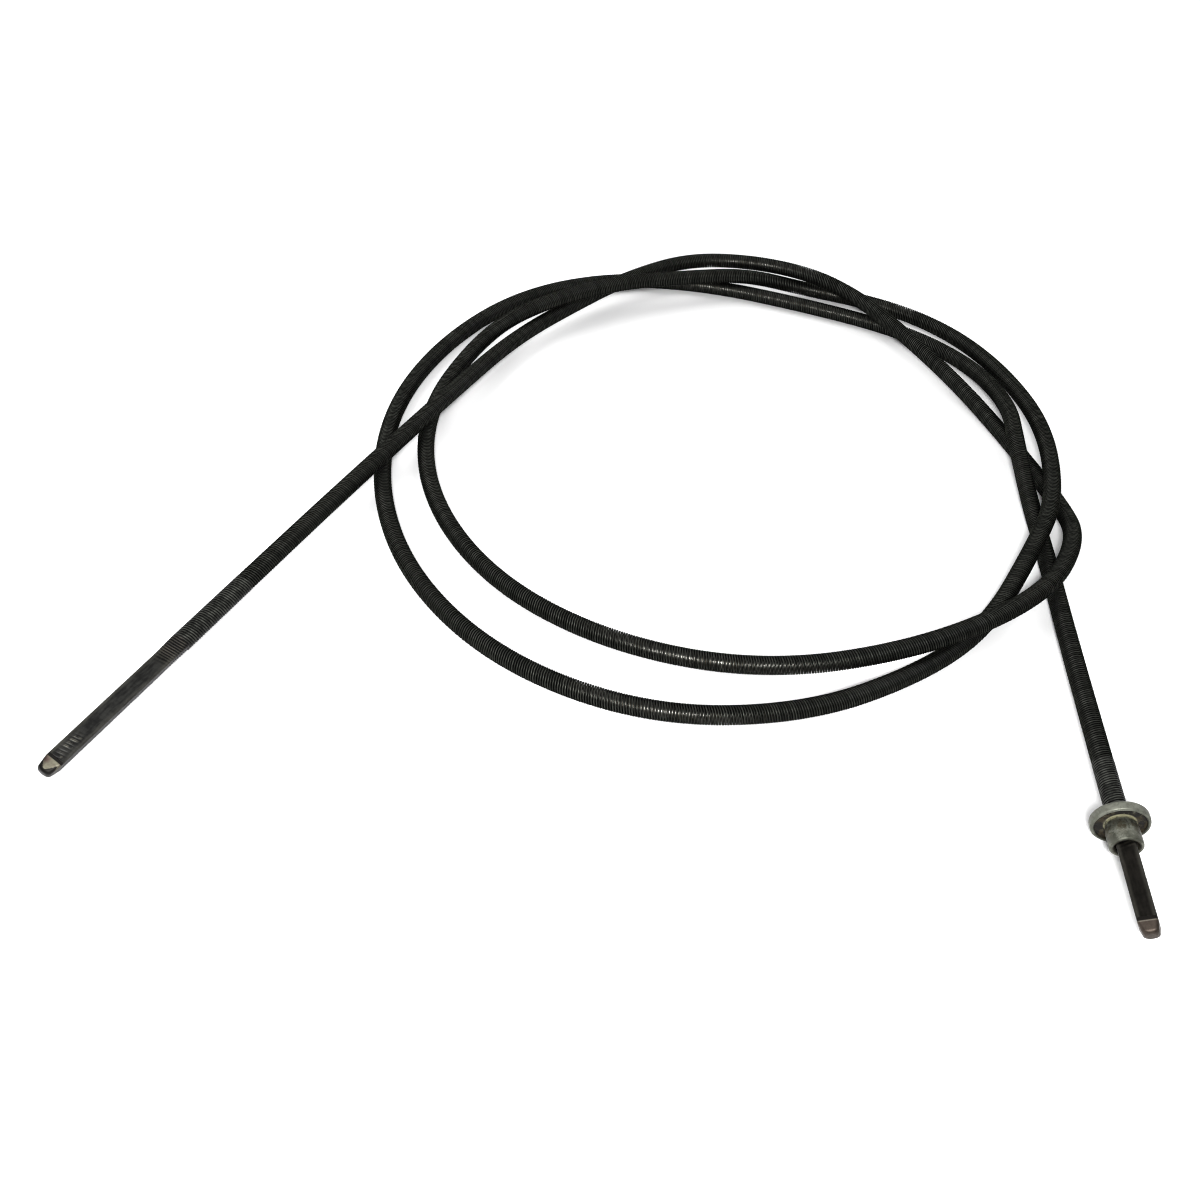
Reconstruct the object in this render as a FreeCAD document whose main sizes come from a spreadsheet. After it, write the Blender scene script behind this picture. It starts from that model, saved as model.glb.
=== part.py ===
"""Flexible drive shaft: a wound-wire shaft with a square at each end and a retaining collar.

Lengths are in millimetres. The shaft lies loosely coiled on the plane z = 0, +Z is up, and the
origin is at the centre of its footprint. The shaft is a core wire inside four wire windings, laid
in alternate directions. Each winding is drawn as the solid sleeve that its wires fill. Three
stretches are separate, because they turn against each other: the long end, the coiled run between
the ends, and the collar end. An end is built along its own +Z, from its joint with the run to its
tip, and its Placement then lays it on the line of the run.
"""
import FreeCAD, Part
import math
import os

import Sketcher

Vector = FreeCAD.Vector

# ---------------------------------------------------------------------------------------------
# Driving dimensions: alias, value. Lengths in mm, angles in degrees.
# ---------------------------------------------------------------------------------------------
DIMENSIONS = [
    ("core_wire_radius", 0.30),
    ("first_wire", 0.25),
    ("second_wire", 0.30),
    ("third_wire", 0.35),
    ("outer_wire", 0.40),
    ("square_width", 2.60),
    ("square_corner", 0.32),
    ("joint_gap", 0.05),
    ("long_round", 14.4),
    ("long_taper", 4.4),
    ("long_square", 20.7),
    ("long_tip", 2.5),
    ("long_roll", -28.0),
    ("collar_round", 12.8),
    ("collar_taper", 2.0),
    ("collar_square", 11.7),
    ("collar_tip", 2.2),
    ("collar_roll", 30.0),
    ("tip_end_width", 2.00),
    ("collar_place", 10.0),
    ("flange_radius", 4.05),
    ("flange_thickness", 1.50),
    ("flange_edge", 0.35),
    ("recess_radius", 3.55),
    ("recess_depth", 0.45),
    ("barrel_radius", 2.30),
    ("barrel_length", 3.60),
    ("barrel_root_radius", 2.05),
    ("barrel_flare", 1.50),
    ("barrel_chamfer", 0.30),
    ("mouth_radius", 1.72),
    ("mouth_depth", 2.40),
]

# Each layer of the shaft: its name and the formula of its outside radius.
LAYERS = [
    ("core_wire", "sizes.core_wire_radius"),
    ("first_winding", "sizes.first_radius"),
    ("second_winding", "sizes.second_radius"),
    ("third_winding", "sizes.third_radius"),
    ("outer_winding", "sizes.shaft_radius"),
]

# Radii that follow from the wires: alias, formula.
STACKED_RADII = [
    ("first_radius", "=core_wire_radius + first_wire"),
    ("second_radius", "=first_radius + second_wire"),
    ("third_radius", "=second_radius + third_wire"),
    ("shaft_radius", "=third_radius + outer_wire"),
]

# The coiled run's route, from the long end to the collar end. Where the run crosses over itself,
# the upper stretch has two raised points, one on each side of the crossing.
ROUTE = [
    (-62.6, -32.1, 3.35), (-55.8, -17.6, 4.0), (-48.6, -3.3, 5.0), (-37.1, 21.7, 5.2),
    (-27.6, 44.7, 3.3), (-15.1, 60.7, 3.5), (-4.6, 70.0, 5.1), (8.4, 79.7, 5.2),
    (22.9, 80.5, 5.7), (36.9, 76.9, 5.8), (46.9, 69.2, 5.3), (54.9, 57.2, 5.1),
    (64.9, 44.2, 2.8), (71.9, 30.7, 1.6), (79.9, 7.2, 1.6), (78.4, -6.3, 5.2),
    (69.4, -21.0, 5.3), (46.9, -35.3, 5.1), (21.9, -40.0, 1.6), (-3.1, -36.8, 1.6),
    (-24.1, -24.8, 1.6), (-37.9, -4.8, 1.6), (-42.1, 18.7, 1.7), (-35.6, 38.7, 4.2),
    (-26.6, 50.2, 6.8), (-8.6, 63.7, 6.8), (8.4, 71.7, 5.3), (21.9, 75.7, 4.9),
    (35.4, 77.7, 1.6), (54.4, 73.2, 1.6), (67.9, 64.2, 1.6), (75.9, 46.7, 3.6),
    (79.7, 26.2, 5.2), (76.9, 4.7, 5.2), (69.9, -9.3, 5.0), (60.4, -25.3, 1.6),
    (47.4, -37.3, 1.6), (27.9, -47.8, 1.6), (3.9, -50.8, 1.6), (-19.6, -42.8, 1.6),
    (-37.1, -26.3, 1.6), (-46.9, -4.3, 1.6), (-48.8, 20.2, 1.6), (-42.1, 43.7, 1.6),
    (-28.6, 63.7, 1.6), (-9.1, 74.5, 1.6), (12.9, 75.7, 1.6), (36.4, 70.2, 1.6),
    (56.9, 63.2, 1.6), (69.9, 52.2, 1.7), (73.9, 33.7, 5.1), (72.9, 20.7, 5.1),
    (73.9, 6.7, 1.6), (73.9, -6.8, 1.6), (72.6, -30.3, 2.4), (71.4, -53.7, 3.75),
]

# The share of the shorter of two runs that the bend between them takes up.
BEND_SHARE = 0.45

doc = FreeCAD.newDocument("flexible_drive_shaft")
sizes = doc.addObject("Spreadsheet::Sheet", "sizes")


def fill_sheet():
    """Writes every driving dimension into the sheet, then the radii that follow from them."""
    for row, (alias, value) in enumerate(DIMENSIONS + STACKED_RADII, start=1):
        sizes.set(f"A{row}", alias)
        sizes.set(f"B{row}", str(value))
        sizes.setAlias(f"B{row}", alias)
    doc.recompute()


# ---------------------------------------------------------------------------------------------
# The coiled run
# ---------------------------------------------------------------------------------------------
def route_wire(points):
    """Straight runs joined by tangent arcs. Returns the wire and the arcs' radii."""
    edges = []
    radii = []
    start = points[0]
    for before, corner, after in zip(points[:-2], points[1:-1], points[2:]):
        arriving = corner - before
        leaving = after - corner
        cut_back = BEND_SHARE * min(arriving.Length, leaving.Length)
        arriving.normalize()
        leaving.normalize()
        half_turn = arriving.getAngle(leaving) / 2
        radius = cut_back / math.tan(half_turn)
        inward = leaving - arriving
        inward.normalize()
        bend_start = corner - arriving * cut_back
        bend_middle = corner + inward * (radius / math.cos(half_turn) - radius)
        bend_end = corner + leaving * cut_back
        edges.append(Part.LineSegment(start, bend_start).toShape())
        edges.append(Part.Arc(bend_start, bend_middle, bend_end).toShape())
        radii.append(radius)
        start = bend_end
    edges.append(Part.LineSegment(start, points[-1]).toShape())
    return Part.Wire(edges), radii


def run_layers(points):
    """The run's core wire and its four windings, swept along the route."""
    wire, radii = route_wire(points)
    smallest = min(radii)
    print(f"run length {wire.Length:.1f} mm, smallest bend {smallest:.1f} mm")
    print("bend radii", " ".join(f"{radius:.0f}" for radius in radii))
    spine = doc.addObject("Part::Feature", "run_centreline")
    spine.Shape = wire
    edge_names = [f"Edge{number}" for number in range(1, len(wire.Edges) + 1)]
    across = FreeCAD.Rotation(Vector(0, 0, 1), points[1] - points[0])
    made = []
    inside = None
    for name, radius in LAYERS:
        section = doc.addObject("Part::Circle", f"{name}_section")
        section.setExpression("Radius", radius)
        section.Placement = FreeCAD.Placement(points[0], across)
        solid = doc.addObject("Part::Sweep", f"{name}_filled")
        solid.Sections = [section]
        solid.Spine = (spine, edge_names)
        solid.Solid = True
        made.append(hollowed(name, solid, inside))
        inside = solid
    return made, wire


def hollowed(name, solid, inside):
    """A layer: its filled shape less the filled shape of the layer inside it."""
    if inside is None:
        layer = solid
    else:
        layer = doc.addObject("Part::Cut", f"{name}_layer")
        layer.Base = solid
        layer.Tool = inside
    layer.Label = name
    return layer


# ---------------------------------------------------------------------------------------------
# The swaged ends
# ---------------------------------------------------------------------------------------------
def rounded_square(name, height, half_width, corner):
    """A sketch of a square with rounded corners, centred on Z at the given height."""
    sketch = doc.addObject("Sketcher::SketchObject", name)
    reach = float(sketch.evalExpression(half_width))
    bend = float(sketch.evalExpression(corner))
    flat = reach - bend
    for quarter in (0, 90, 180, 270):
        spin = FreeCAD.Rotation(Vector(0, 0, 1), quarter)
        side = [spin.multVec(Vector(reach, end * flat, 0)) for end in (-1, 1)]
        sketch.addGeometry(Part.LineSegment(*side), False)
        circle = Part.Circle(spin.multVec(Vector(flat, flat, 0)), Vector(0, 0, 1), bend)
        start = math.radians(quarter)
        sketch.addGeometry(Part.ArcOfCircle(circle, start, start + math.pi / 2), False)
    for line in (0, 2, 4, 6):
        arc = line + 1
        following = (line + 2) % 8
        sketch.addConstraint(Sketcher.Constraint("Tangent", line, 2, arc, 1))
        sketch.addConstraint(Sketcher.Constraint("Tangent", arc, 2, following, 1))
        direction = "Vertical" if line in (0, 4) else "Horizontal"
        sketch.addConstraint(Sketcher.Constraint(direction, line))
    for arc in (3, 5, 7):
        sketch.addConstraint(Sketcher.Constraint("Equal", 1, arc))
    reaches = [
        ("DistanceX", -1, 0),
        ("DistanceY", -1, 2),
        ("DistanceX", 4, -1),
        ("DistanceY", 6, -1),
    ]
    for kind, first, second in reaches:
        place = sketch.addConstraint(Sketcher.Constraint(kind, first, 1, second, 1, reach))
        sketch.setExpression(f"Constraints[{place}]", half_width)
    place = sketch.addConstraint(Sketcher.Constraint("Radius", 1, bend))
    sketch.setExpression(f"Constraints[{place}]", corner)
    sketch.setExpression(".Placement.Base.z", height)
    return sketch


def loft(name, *sections):
    """A straight-sided solid through closed sections."""
    solid = doc.addObject("Part::Loft", name)
    solid.Sections = list(sections)
    solid.Solid = True
    solid.Ruled = True
    return solid


def end_placement(split, inner, roll):
    """Lays an end's own Z on the line from the route's inner point out through its split point."""
    outward = split - inner
    outward.normalize()
    sideways = Vector(0, 0, 1).cross(outward)
    upright = outward.cross(sideways)
    lay = FreeCAD.Rotation(sideways, upright, outward, "ZXY")
    return FreeCAD.Placement(split, lay * FreeCAD.Rotation(Vector(0, 0, 1), roll))


def end_layers(end, placement):
    """One end's core wire and windings: round, then tapering, then square up to the fused tip."""
    taper_start = f"sizes.{end}_round"
    square_start = f"{taper_start} + sizes.{end}_taper"
    square_end = f"{square_start} + sizes.{end}_square"
    made = []
    inside = None
    for layer_name, radius in LAYERS:
        name = f"{end}_{layer_name}"
        share = f"{radius} / sizes.shaft_radius"
        half_width = f"{share} * sizes.square_width / 2"
        corner = f"{share} * sizes.square_corner"
        body = doc.addObject("Part::Cylinder", f"{name}_round")
        body.setExpression("Radius", radius)
        body.setExpression("Height", f"{taper_start} - sizes.joint_gap")
        body.setExpression(".Placement.Base.z", "sizes.joint_gap")
        shoulder = rounded_square(f"{name}_shoulder", taper_start, radius, f"0.995 * {radius}")
        low = rounded_square(f"{name}_square_low", square_start, half_width, corner)
        high = rounded_square(f"{name}_square_high", square_end, half_width, corner)
        solid = doc.addObject("Part::MultiFuse", f"{name}_filled")
        taper = loft(f"{name}_taper", shoulder, low)
        square = loft(f"{name}_square", low, high)
        solid.Shapes = [body, taper, square]
        if inside is None:
            layer = doc.addObject("Part::Refine", f"{name}_layer")
            layer.Source = solid
            layer.Label = name
        else:
            layer = hollowed(name, solid, inside)
        layer.Placement = placement
        made.append(layer)
        inside = solid
    return made


def fused_tip(end, placement):
    """The fused mass that holds the wires' ends: the square drawn in to a blunt tip."""
    start = f"sizes.{end}_round + sizes.{end}_taper + sizes.{end}_square"
    neck = f"{start} + sizes.{end}_tip * 0.3"
    finish = f"{start} + sizes.{end}_tip"
    full = "sizes.square_width / 2"
    corner = "sizes.square_corner"
    low = rounded_square(f"{end}_tip_low", start, full, corner)
    middle = rounded_square(f"{end}_tip_middle", neck, full, corner)
    high = rounded_square(f"{end}_tip_high", finish, "sizes.tip_end_width / 2", corner)
    tip = doc.addObject("Part::MultiFuse", f"{end}_tip")
    tip.Shapes = [loft(f"{end}_tip_root", low, middle), loft(f"{end}_tip_point", middle, high)]
    tip.Label = f"{end}_fused_tip"
    tip.Placement = placement
    return tip


# ---------------------------------------------------------------------------------------------
# The retaining collar
# ---------------------------------------------------------------------------------------------
def turned_profile(body, corners):
    """A closed sketch on the body's XZ plane through (radius, height) corners."""
    sketch = body.newObject("Sketcher::SketchObject", "collar_profile")
    sketch.AttachmentSupport = (body.Origin.OriginFeatures[4], [""])
    sketch.MapMode = "FlatFace"
    points = []
    for radius, height in corners:
        across = float(sketch.evalExpression(radius))
        along = float(sketch.evalExpression(height))
        points.append(Vector(across, along, 0))
    for start, end in zip(points, points[1:] + points[:1]):
        sketch.addGeometry(Part.LineSegment(start, end), False)
    for line in range(len(points)):
        following = (line + 1) % len(points)
        sketch.addConstraint(Sketcher.Constraint("Coincident", line, 2, following, 1))
    for line, (point, formulas) in enumerate(zip(points, corners)):
        for kind, value, formula in zip(("DistanceX", "DistanceY"), point, formulas):
            place = sketch.addConstraint(Sketcher.Constraint(kind, -1, 1, line, 1, value))
            sketch.setExpression(f"Constraints[{place}]", formula)
    return sketch


def edges_at(feature, radius, heights=None):
    """The names of a feature's round edges of one radius, at any or only at the given heights."""
    names = []
    for number, edge in enumerate(feature.Shape.Edges, start=1):
        if not isinstance(edge.Curve, Part.Circle):
            continue
        near = heights is None or any(abs(edge.Curve.Center.z - z) < 0.01 for z in heights)
        if near and abs(edge.Curve.Radius - radius) < 0.001:
            names.append(f"Edge{number}")
    return names


def retaining_collar(placement):
    """The flange and barrel, turned in one piece and pressed on the shaft before the square."""
    body = doc.addObject("PartDesign::Body", "collar")
    bore = "sizes.shaft_radius"
    back = "sizes.collar_place"
    face = f"{back} + sizes.flange_thickness"
    floor = f"{face} - sizes.recess_depth"
    end = f"{face} + sizes.barrel_length"
    mouth = f"{end} - sizes.mouth_depth"
    corners = [
        (bore, back),
        ("sizes.flange_radius", back),
        ("sizes.flange_radius", face),
        ("sizes.recess_radius", face),
        ("sizes.recess_radius", floor),
        ("sizes.barrel_root_radius", floor),
        ("sizes.barrel_radius", f"{floor} + sizes.barrel_flare"),
        ("sizes.barrel_radius", end),
        ("sizes.mouth_radius", end),
        ("sizes.mouth_radius", mouth),
        (bore, mouth),
    ]
    profile = turned_profile(body, corners)
    turned = body.newObject("PartDesign::Revolution", "collar_turned")
    turned.Profile = profile
    turned.ReferenceAxis = (profile, ["V_Axis"])
    turned.Angle = 360
    doc.recompute()
    rim = body.newObject("PartDesign::Fillet", "collar_rim")
    rim.Base = (turned, edges_at(turned, sizes.flange_radius))
    rim.setExpression("Radius", "sizes.flange_edge")
    doc.recompute()
    barrel_end = sizes.collar_place + sizes.flange_thickness + sizes.barrel_length
    nose = body.newObject("PartDesign::Chamfer", "collar_nose")
    nose.Base = (rim, edges_at(rim, sizes.barrel_radius, [barrel_end]))
    nose.setExpression("Size", "sizes.barrel_chamfer")
    body.Label = "retaining_collar"
    body.Placement = placement
    return body


# ---------------------------------------------------------------------------------------------
# Checks and export
# ---------------------------------------------------------------------------------------------
def check(nodes):
    """Stops the build if any object failed or a node's shape is missing or not valid."""
    for item in doc.Objects:
        if {"Invalid", "Error"} & set(item.State):
            raise RuntimeError(f"{item.Name} failed: {item.State}")
    for node in nodes:
        if node.Shape.isNull() or not node.Shape.isValid():
            raise RuntimeError(f"{node.Label} has no valid shape")


def export(nodes):
    """Writes one STEP file per node and prints each node's size."""
    os.makedirs("parts", exist_ok=True)
    for node in nodes:
        node.Shape.exportStep(f"parts/{node.Label}.step")
        box = node.Shape.BoundBox
        print(f"{node.Label:32s} {len(node.Shape.Solids)} solid {node.Shape.Volume:9.2f} mm3"
              f"  z {box.ZMin:6.2f} to {box.ZMax:6.2f}")


def main():
    """Builds the shaft and its collar, checks them and exports them."""
    fill_sheet()
    route = [Vector(*point) for point in ROUTE]
    nodes, wire = run_layers(route)
    long_end = end_placement(route[0], route[1], sizes.long_roll)
    collar_end = end_placement(route[-1], route[-2], sizes.collar_roll)
    for end, placement in (("long", long_end), ("collar", collar_end)):
        nodes += end_layers(end, placement)
        nodes.append(fused_tip(end, placement))
    nodes.append(retaining_collar(collar_end))
    doc.recompute()
    check(nodes)
    section = math.pi * sizes.shaft_radius ** 2
    swept = sum(node.Shape.Volume for node in nodes[:len(LAYERS)])
    print(f"run volume {swept:.1f} mm3, section times length {section * wire.Length:.1f} mm3")
    whole = FreeCAD.BoundBox()
    for node in nodes:
        whole.add(node.Shape.BoundBox)
    print(f"whole x {whole.XMin:.2f} {whole.XMax:.2f} y {whole.YMin:.2f} {whole.YMax:.2f}"
          f" z {whole.ZMin:.2f} {whole.ZMax:.2f}")
    for name, end in (("long", long_end), ("collar", collar_end)):
        outward = end.Rotation.multVec(Vector(0, 0, 1))
        print(f"{name} end joint {tuple(end.Base)} outward {tuple(outward)}")
    export(nodes)


main()
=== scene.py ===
"""Flexible drive shaft, bare of its casing and loosely coiled: every visible piece in its finish.

All lengths are in metres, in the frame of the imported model: the shaft lies on z = 0 and +Z is up.
The coiled run follows one smooth line through the route's points. Its outer winding is four real
wires, and each end is one surface that goes from those wires' ridges to the swaged square. An
end is made along its own +Z, from its joint with the run to its tip.
"""
import logging
import math
from dataclasses import dataclass, field
from enum import Enum
from typing import Sequence, Union

import bpy
import numpy as np
from mathutils import Matrix, Vector


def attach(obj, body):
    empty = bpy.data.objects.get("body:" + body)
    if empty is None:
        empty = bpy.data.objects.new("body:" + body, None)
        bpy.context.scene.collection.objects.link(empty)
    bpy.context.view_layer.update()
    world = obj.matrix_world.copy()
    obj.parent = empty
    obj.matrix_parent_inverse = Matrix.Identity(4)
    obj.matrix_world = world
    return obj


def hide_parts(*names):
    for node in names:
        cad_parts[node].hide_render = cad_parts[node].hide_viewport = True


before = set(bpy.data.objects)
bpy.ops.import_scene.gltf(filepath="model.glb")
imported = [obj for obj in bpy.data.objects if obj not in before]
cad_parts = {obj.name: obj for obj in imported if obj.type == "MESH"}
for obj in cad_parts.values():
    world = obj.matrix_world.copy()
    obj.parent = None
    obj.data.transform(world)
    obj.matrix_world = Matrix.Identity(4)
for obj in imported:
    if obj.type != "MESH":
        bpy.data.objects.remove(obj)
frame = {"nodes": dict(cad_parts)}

LOG = logging.getLogger("flexible_shaft")
MM = 0.001
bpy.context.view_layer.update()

Value = Union["Socket", float, Sequence[float]]


# ---------------------------------------------------------------------------------------------
# Shader expressions
# ---------------------------------------------------------------------------------------------
class Socket:
    """One output of a shader node, with arithmetic on values written as Python expressions."""

    def __init__(self, recipe: "Recipe", output: bpy.types.NodeSocket) -> None:
        """Wraps an output.

        Args:
            recipe: The material that the output's node belongs to.
            output: The node output.
        """
        self.recipe = recipe
        self.output = output

    def _math(self, operation: str, first: Value, second: Value) -> "Socket":
        """Adds a Math node.

        Args:
            operation: The node's operation.
            first: Its first value.
            second: Its second value.

        Returns:
            The node's result.
        """
        return self.recipe.node("ShaderNodeMath", {"operation": operation}, {0: first, 1: second})

    def __add__(self, other: Value) -> "Socket":
        """self + other."""
        return self._math("ADD", self, other)

    __radd__ = __add__

    def __sub__(self, other: Value) -> "Socket":
        """self - other."""
        return self._math("SUBTRACT", self, other)

    def __rsub__(self, other: Value) -> "Socket":
        """other - self."""
        return self._math("SUBTRACT", other, self)

    def __mul__(self, other: Value) -> "Socket":
        """self * other."""
        return self._math("MULTIPLY", self, other)

    __rmul__ = __mul__


class Recipe:
    """A material being made: its Principled shader and the nodes that feed it."""

    def __init__(self, name: str, constants: dict[str, Value]) -> None:
        """Makes the material.

        Args:
            name: The material's name.
            constants: The values set on the shader's own sockets.
        """
        self.material = bpy.data.materials.new(name)
        self.material.use_nodes = True
        self.tree = self.material.node_tree
        self.shader = self.tree.nodes["Principled BSDF"]
        for socket, value in constants.items():
            self.shader.inputs[socket].default_value = value

    def node(
        self, kind: str, settings: dict[str, object], inputs: dict, output: Union[int, str] = 0
    ) -> Socket:
        """Adds any node.

        Args:
            kind: The node's type.
            settings: Its settings, set before its inputs.
            inputs: The values or links of its sockets, by name or number.
            output: The name or number of the output wanted.

        Returns:
            The output.
        """
        made = self.tree.nodes.new(kind)
        for name, value in settings.items():
            setattr(made, name, value)
        for name, value in inputs.items():
            self.feed(made.inputs[name], value)
        return Socket(self, made.outputs[output])

    def feed(self, target: bpy.types.NodeSocket, value: Value) -> None:
        """Links or sets an input.

        Args:
            target: The input.
            value: A Socket to link, or a value to set.
        """
        if isinstance(value, Socket):
            self.tree.links.new(value.output, target)
        else:
            target.default_value = value

    def place(self) -> Socket:
        """The point on the piece, in millimetres, in the piece's own axes."""
        own = self.node("ShaderNodeTexCoord", {}, {}, "Object")
        return self.node("ShaderNodeVectorMath", {"operation": "SCALE"}, {0: own, "Scale": 1000.0})

    def surface(self, name: str) -> Socket:
        """A value that the mesh carries at each vertex, such as "groove"."""
        return self.node("ShaderNodeAttribute", {"attribute_name": name}, {}, "Fac")

    def noise(self, where: Value, per_mm: float, detail: float = 3.0, rough: float = 0.6) -> Socket:
        """A noise from 0 to 1.

        Args:
            where: The point, in millimetres.
            per_mm: Lumps per millimetre.
            detail: How many finer octaves it has.
            rough: How strong they are.

        Returns:
            The noise's value.
        """
        inputs = {"Vector": where, "Scale": per_mm, "Detail": detail, "Roughness": rough}
        return self.node("ShaderNodeTexNoise", {}, inputs, 0)

    def band(
        self, value: Value, low: float, high: float, start: float = 0.0, end: float = 1.0
    ) -> Socket:
        """A smooth step.

        Args:
            value: What is stepped.
            low: Where the step starts.
            high: Where it ends.
            start: The result up to low.
            end: The result from high on.

        Returns:
            The stepped value.
        """
        inputs = {"Value": value, "From Min": low, "From Max": high, "To Min": start, "To Max": end}
        return self.node("ShaderNodeMapRange", {"interpolation_type": "SMOOTHSTEP"}, inputs)

    def mix(self, share: Value, first: Value, second: Value) -> Socket:
        """Mixes two colours.

        Args:
            share: How much of the second shows, from 0 to 1.
            first: The first colour.
            second: The second colour.

        Returns:
            The mixed colour.
        """
        inputs = {0: share, 6: first, 7: second}
        return self.node("ShaderNodeMix", {"data_type": "RGBA"}, inputs, 2)

    def finish(self, bump: Value, depth: float, **fed: Value) -> bpy.types.Material:
        """Feeds the shader.

        Args:
            bump: The bump's height, from 0 to 1.
            depth: The height of 1, in metres.
            fed: What feeds the shader's sockets. An underscore stands for a space.

        Returns:
            The finished material.
        """
        for name, value in fed.items():
            self.feed(self.shader.inputs[name.replace("_", " ")], value)
        inputs = {"Height": bump, "Distance": depth, "Strength": 1.0}
        self.feed(self.shader.inputs["Normal"], self.node("ShaderNodeBump", {}, inputs))
        return self.material


def rgba(red: float, green: float, blue: float) -> tuple[float, float, float, float]:
    """A colour with full alpha."""
    return (red, green, blue, 1.0)


# ---------------------------------------------------------------------------------------------
# Finishes
# ---------------------------------------------------------------------------------------------
@dataclass(frozen=True)
class OiledWire:
    """Spring wire under old oil: black, with the tops of the wires rubbed to dark grey."""

    name: str = "oiled_wire"
    black: tuple = rgba(0.0022, 0.0024, 0.0022)
    film: tuple = rgba(0.0036, 0.0038, 0.0034)
    worn: tuple = rgba(0.056, 0.058, 0.051)
    glint: tuple = rgba(0.30, 0.31, 0.29)
    grain_depth: float = 0.006 * MM

    def make(self) -> bpy.types.Material:
        """Makes the material. The mesh carries "crown", 1 along a wire's top, and "wear".

        Returns:
            The material.
        """
        recipe = Recipe(self.name, {"Specular Tint": self.glint, "Specular IOR Level": 0.1})
        where = recipe.place()
        patches = recipe.noise(where, 0.07, 2.0)
        grain = recipe.noise(where, 6.0, 2.0)
        crown = recipe.band(recipe.surface("crown"), 0.78, 1.0)
        rubbed = crown * recipe.surface("wear")
        colour = recipe.mix(recipe.band(patches, 0.35, 0.65), self.black, self.film)
        colour = recipe.mix(rubbed, colour, self.worn)
        return recipe.finish(
            grain,
            self.grain_depth,
            Base_Color=colour,
            Roughness=0.50 - rubbed * 0.20 + grain * 0.04,
            Metallic=0.80 + rubbed * 0.2,
        )


@dataclass(frozen=True)
class SwagedSteel:
    """Wires pressed together in a die: smooth dark flats with faint grooves."""

    name: str
    black: tuple
    flat: tuple
    # Worn steel. The same colour also lightens one side flat as a painted reflection of the floor.
    worn: tuple = rgba(0.13, 0.125, 0.105)
    brown: tuple = rgba(0.036, 0.033, 0.027)
    gap: tuple = rgba(0.003, 0.003, 0.003)
    glint: tuple = rgba(0.85, 0.84, 0.86)
    drawn_out: tuple = (2.2, 2.2, 0.5)
    grain_depth: float = 0.012 * MM

    def make(self) -> bpy.types.Material:
        """Makes the material.

        The mesh carries "crown" on its ridges, "round" up to the taper, "tint" on the taper,
        "edge" along the square's corners, "side" on one flat that gets a painted reflection of the
        floor, and "marks" before the tip.

        Returns:
            The material.
        """
        recipe = Recipe(self.name, {"Specular Tint": self.glint, "Specular IOR Level": 0.2})
        where = recipe.place()
        stretch = {0: where, 1: self.drawn_out}
        drawn = recipe.node("ShaderNodeVectorMath", {"operation": "MULTIPLY"}, stretch)
        patches = recipe.noise(where, 0.45, 3.0)
        streaks = recipe.noise(drawn, 1.3, 3.0)
        grain = recipe.noise(where, 7.0, 2.0)
        crown = recipe.band(recipe.surface("crown"), 0.4, 0.95)
        rubbed = recipe.band(patches * 0.5 + streaks * 0.5, 0.38, 0.62)
        colour = recipe.mix(rubbed, self.black, self.flat)
        ridged = recipe.surface("tint")
        colour = recipe.mix(ridged * (1 - crown), colour, self.gap)
        colour = recipe.mix(ridged * crown * recipe.band(patches, 0.3, 0.6), colour, self.brown)
        colour = recipe.mix(recipe.surface("edge") * streaks * 0.35, colour, self.worn)
        uneven = recipe.band(recipe.noise(where, 1.1, 2.0), 0.38, 0.60)
        marks = recipe.surface("marks") * crown * uneven
        colour = recipe.mix(marks * 0.8, colour, self.worn)
        # Painted reflection: one side flat is lightened towards the worn colour to stand for the
        # floor's reflection at a grazing angle.
        colour = recipe.mix(recipe.surface("side") * (0.2 + streaks), colour, self.worn)
        run = OiledWire()
        lay = recipe.mix(crown * (0.35 + uneven * 0.65), run.film, run.worn)
        colour = recipe.mix(recipe.surface("round"), colour, lay)
        return recipe.finish(
            grain * 0.5 + streaks * 0.5,
            self.grain_depth,
            Base_Color=colour,
            Roughness=0.46 - marks * 0.16 + streaks * 0.10,
            Metallic=0.85 + marks * 0.15,
        )


@dataclass(frozen=True)
class FusedMetal:
    """Wire ends melted into one mass and ground off, with a brown heat tint."""

    name: str
    ground: tuple
    brown: tuple
    dark: tuple
    rubbed: tuple = rgba(0.16, 0.145, 0.12)
    grain_depth: float = 0.04 * MM

    def make(self) -> bpy.types.Material:
        """Makes the material. The mesh carries "facet", "warm", "end" and "line".

        Returns:
            The material.
        """
        recipe = Recipe(self.name, {"IOR": 1.5})
        where = recipe.place()
        lumps = recipe.noise(where, 1.3, 2.0)
        specks = recipe.noise(where, 5.0, 3.0)
        facet = recipe.band(recipe.surface("facet") + lumps * 0.4, 0.45, 0.75)
        colour = recipe.mix(recipe.band(lumps, 0.35, 0.7, 0.0, 0.5), self.ground, self.brown)
        colour = recipe.mix(recipe.surface("warm"), colour, self.brown)
        colour = recipe.mix(facet, self.dark, colour)
        colour = recipe.mix(recipe.surface("end"), colour, self.dark)
        colour = recipe.mix(recipe.surface("line") * 0.7, colour, self.rubbed)
        return recipe.finish(
            lumps * 0.6 + specks * 0.4,
            self.grain_depth,
            Base_Color=colour,
            Roughness=0.40 + specks * 0.16,
            Metallic=0.9,
        )


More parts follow.
